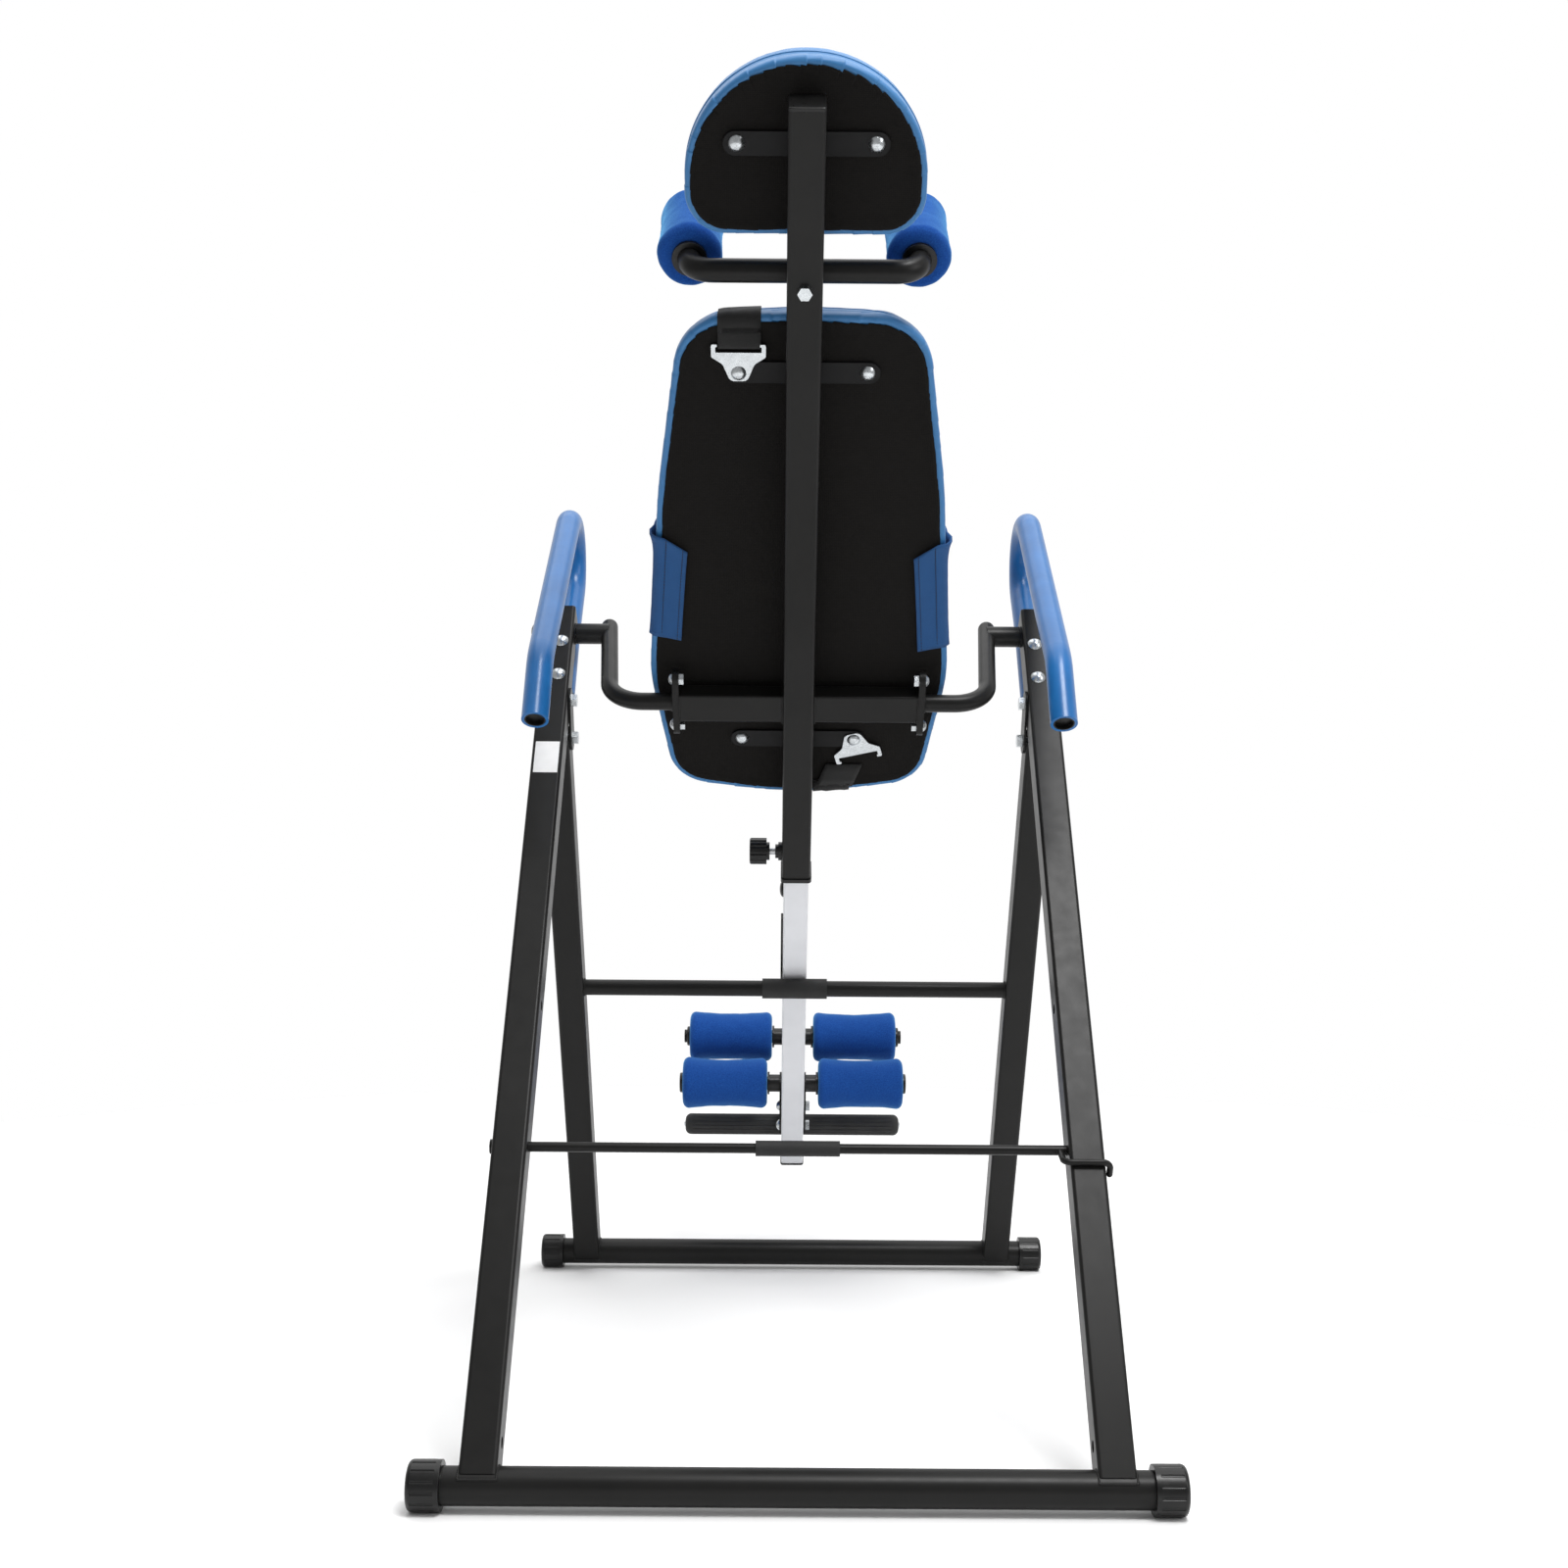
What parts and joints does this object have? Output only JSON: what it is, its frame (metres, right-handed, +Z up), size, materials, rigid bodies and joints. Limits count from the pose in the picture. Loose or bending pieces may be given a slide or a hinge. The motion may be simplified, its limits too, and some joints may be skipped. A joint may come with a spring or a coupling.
{
  "type": "inversion table",
  "caption": "Folding A-frame table with a pivoting padded bed, side handles, roller ankle holder and shoulder rollers, used to hang head down.",
  "frame": {"origin": "centre of the footprint box on the floor", "axes": "+Z up, +Y towards the side where the user stands and the ankle rollers are, +X to the right when seen from behind"},
  "size_m": [0.763, 1.155, 1.4562],
  "materials": {
    "frame_black": "satin",
    "boom_grey": "satin",
    "bright_steel": "satin",
    "zinc": "polished",
    "black_plastic": "satin",
    "rubber_black": "matte",
    "foam_blue": "matte",
    "grip_blue": "satin",
    "pad_blue": "satin",
    "pad_back": "matte",
    "webbing": "matte",
    "band_blue": "matte",
    "white_label": "matte"
  },
  "bodies": {
    "rear_frame": {"rear_base_tube": "frame_black", "rear_foot_caps": "black_plastic", "rear_leg_left": "frame_black", "rear_leg_right": "frame_black", "stand_plugs": "black_plastic", "handle_tube_left": "frame_black", "handle_tube_right": "frame_black", "handle_grip_left": "grip_blue", "handle_grip_right": "grip_blue", "stand_bolts": "zinc", "fold_bracket_left": "frame_black", "fold_bracket_right": "frame_black", "pivot_bushes": "black_plastic", "blank_label": "white_label"},
    "stop_bar": {"stop_bar_rod": "frame_black", "stop_bar_sleeve": "rubber_black"},
    "front_frame": {"front_base_tube": "frame_black", "front_foot_caps": "black_plastic", "front_leg_left": "frame_black", "front_leg_right": "frame_black", "front_crossbar": "frame_black", "crossbar_sleeve": "rubber_black"},
    "bed": {"spine_tube": "frame_black", "cross_tubes": "frame_black", "crank_arm_left": "frame_black", "crank_arm_right": "frame_black", "pivot_axles": "bright_steel", "bed_caps": "black_plastic", "head_bar": "frame_black", "upper_bar": "frame_black", "lower_bar": "frame_black", "strap_hooks": "zinc", "bed_bolts": "zinc", "pad_boards": "pad_back", "head_cushion": "pad_blue", "back_cushion": "pad_blue", "lumbar_cushion": "pad_blue", "lumbar_band": "band_blue", "lumbar_strap": "webbing", "shoulder_bar": "frame_black", "shoulder_collars": "black_plastic", "height_boss": "black_plastic"},
    "height_pin": {"height_pin": "bright_steel", "height_knob": "black_plastic"},
    "boom": {"boom_tube": "boom_grey", "boom_fittings": "black_plastic", "ankle_bracket": "frame_black", "ankle_bolts": "zinc", "rear_ankle_axle": "frame_black", "footrest_bar": "rubber_black"},
    "ankle_slide": {"ankle_slide": "frame_black", "ankle_slide_fittings": "black_plastic"},
    "ankle_pin": {"ankle_pin": "black_plastic"},
    "rear_roller_left": {"rear_roller_left": "foam_blue"},
    "rear_roller_right": {"rear_roller_right": "foam_blue"},
    "front_roller_left": {"front_roller_left": "foam_blue"},
    "front_roller_right": {"front_roller_right": "foam_blue"},
    "shoulder_roller_left": {"shoulder_roller_left": "foam_blue"},
    "shoulder_roller_right": {"shoulder_roller_right": "foam_blue"}
  },
  "joints": [
    {"name": "bed_tilt", "type": "hinge", "parent": "rear_frame", "child": "bed", "pos_m": [0, 0.08248, 0.928], "axis": [1, 0, 0], "range_deg": [0, 88.54]},
    {"name": "front_fold", "type": "hinge", "parent": "rear_frame", "child": "front_frame", "pos_m": [0, 0.03716, 0.78873], "axis": [-1, 0, 0], "range_deg": [0, 62]},
    {"name": "stop_bar_turn", "type": "hinge", "parent": "rear_frame", "child": "stop_bar", "pos_m": [0, -0.34303, 0.32257], "axis": [-1, 0, 0], "range_deg": [0, 90]},
    {"name": "boom_height", "type": "slide", "parent": "bed", "child": "boom", "axis": [0, 0.6561, -0.7547], "range_m": [0, 0.15]},
    {"name": "height_pin_pull", "type": "slide", "parent": "bed", "child": "height_pin", "axis": [-1, 0, 0], "range_m": [0, 0.008], "stiffness_N_per_m": 400, "springref_m": -0.006},
    {"name": "ankle_adjust", "type": "slide", "parent": "boom", "child": "ankle_slide", "axis": [0, 0.7547, 0.6561], "range_m": [0, 0.06]},
    {"name": "ankle_pin_pull", "type": "slide", "parent": "boom", "child": "ankle_pin", "axis": [-1, 0, 0], "range_m": [0, 0.005], "stiffness_N_per_m": 300, "springref_m": -0.004},
    {"name": "rear_roller_left_spin", "type": "hinge", "parent": "boom", "child": "rear_roller_left", "pos_m": [-0.102, 0.45322, 0.28964], "axis": [1, 0, 0], "continuous": true},
    {"name": "front_roller_left_spin", "type": "hinge", "parent": "ankle_slide", "child": "front_roller_left", "pos_m": [-0.0955, 0.53902, 0.35098], "axis": [1, 0, 0], "continuous": true},
    {"name": "shoulder_roller_left_spin", "type": "hinge", "parent": "bed", "child": "shoulder_roller_left", "pos_m": [-0.124, -0.3281, 1.32105], "axis": [0, 0.7547, 0.6561], "continuous": true},
    {"name": "rear_roller_right_spin", "type": "hinge", "parent": "boom", "child": "rear_roller_right", "pos_m": [0.102, 0.45322, 0.28964], "axis": [1, 0, 0], "continuous": true},
    {"name": "front_roller_right_spin", "type": "hinge", "parent": "ankle_slide", "child": "front_roller_right", "pos_m": [0.0955, 0.53902, 0.35098], "axis": [1, 0, 0], "continuous": true},
    {"name": "shoulder_roller_right_spin", "type": "hinge", "parent": "bed", "child": "shoulder_roller_right", "pos_m": [0.124, -0.3281, 1.32105], "axis": [0, 0.7547, 0.6561], "continuous": true}
  ]
}
